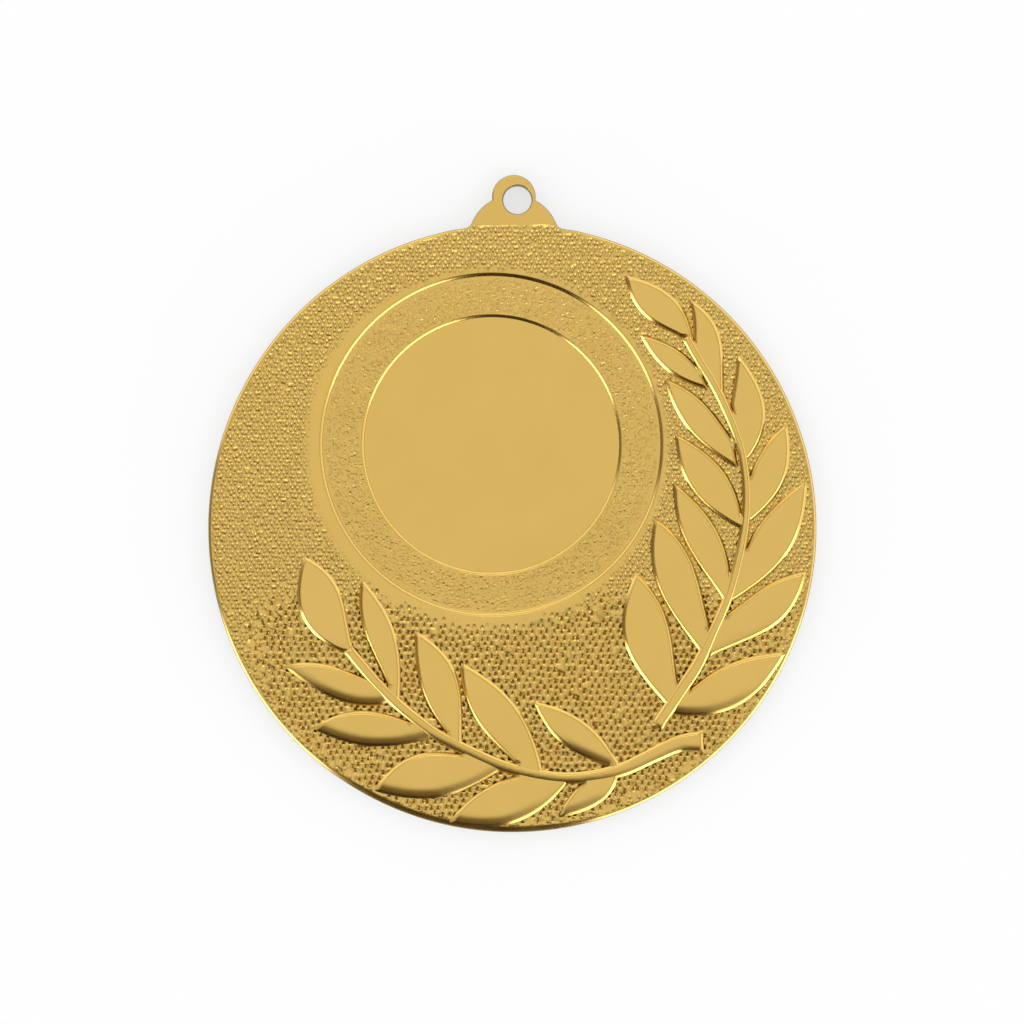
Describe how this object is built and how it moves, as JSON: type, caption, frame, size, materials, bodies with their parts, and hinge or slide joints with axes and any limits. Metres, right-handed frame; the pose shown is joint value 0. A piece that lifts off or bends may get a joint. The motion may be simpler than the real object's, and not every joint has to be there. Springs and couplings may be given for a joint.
{
  "type": "award medal",
  "caption": "Round award medal with a ribbon hole in a small tab, a stepped round seat for an emblem disc and two laurel branches in relief.",
  "frame": {"origin": "centre of the disc on its flat back face", "axes": "+Z out of the face, +Y from the disc's centre towards the hanger tab, +X to the right of the face"},
  "size_m": [0.06, 0.0649, 0.0026],
  "materials": {
    "plain_gold": "smooth satin gold plating",
    "pebbled_gold": "pebbled, bright gold plating",
    "grained_gold": "finely grained, satin gold plating",
    "relief_gold": "smooth, polished at the bevelled edges"
  },
  "bodies": {
    "root": {"disc_blank": "plain_gold", "pebbled_field": "pebbled_gold", "seat_ledge": "grained_gold", "hanger_tab": "plain_gold", "right_stem": "relief_gold", "lower_stem": "relief_gold", "right_leaf_1": "relief_gold", "right_leaf_2": "relief_gold", "right_leaf_3": "relief_gold", "right_leaf_4": "relief_gold", "right_leaf_5": "relief_gold", "right_leaf_6": "relief_gold", "right_leaf_7": "relief_gold", "right_leaf_8": "relief_gold", "right_leaf_9": "relief_gold", "right_leaf_10": "relief_gold", "right_leaf_11": "relief_gold", "right_leaf_12": "relief_gold", "right_leaf_13": "relief_gold", "lower_leaf_1": "relief_gold", "lower_leaf_2": "relief_gold", "lower_leaf_3": "relief_gold", "lower_leaf_4": "relief_gold", "lower_leaf_5": "relief_gold", "lower_leaf_6": "relief_gold", "lower_leaf_7": "relief_gold", "lower_leaf_8": "relief_gold", "lower_leaf_9": "relief_gold", "lower_leaf_10": "relief_gold"}
  },
  "joints": []
}
